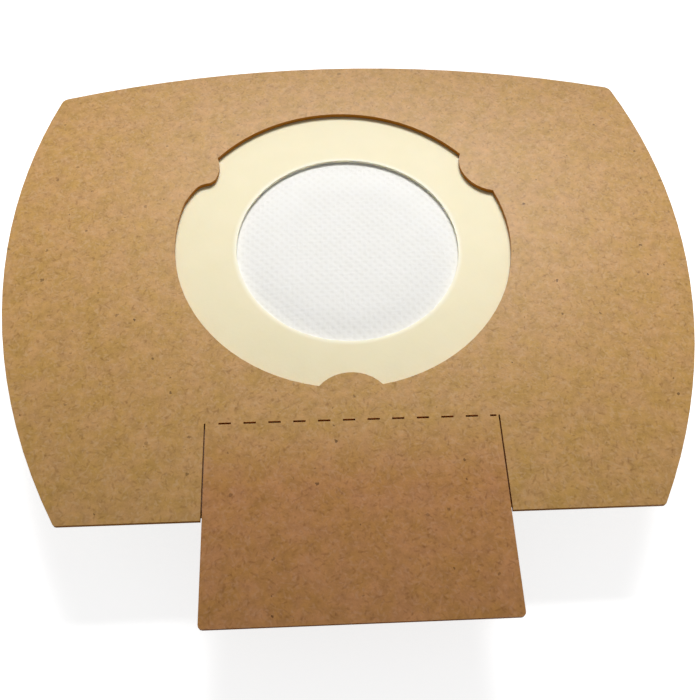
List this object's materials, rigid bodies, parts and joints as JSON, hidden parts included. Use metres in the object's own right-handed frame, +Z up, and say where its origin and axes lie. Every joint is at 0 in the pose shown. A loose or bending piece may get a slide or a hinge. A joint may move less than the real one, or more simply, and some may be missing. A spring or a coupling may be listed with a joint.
{
  "type": "vacuum dust bag",
  "caption": "Vacuum cleaner dust bag folded flat behind its bowed kraft board collar, with a lugged round inlet, a rubber seal and a pull tab on a perforated fold line.",
  "frame": {"origin": "on the floor under the middle of the collar's bounding box, with the bag lying on its folded fleece", "axes": "+X across the collar, -Y towards the pull tab, +Z up, out of the inlet"},
  "size_m": [0.153, 0.1396, 0.0173],
  "materials": {
    "kraft_board": "matte",
    "grey_brown_board": "matte",
    "cream_rubber": "satin",
    "white_fleece": "matte"
  },
  "bodies": {
    "root": {"collar_board": "kraft_board", "backing_board": "grey_brown_board", "seal_membrane": "cream_rubber", "filter_bag": "white_fleece"}
  },
  "joints": []
}
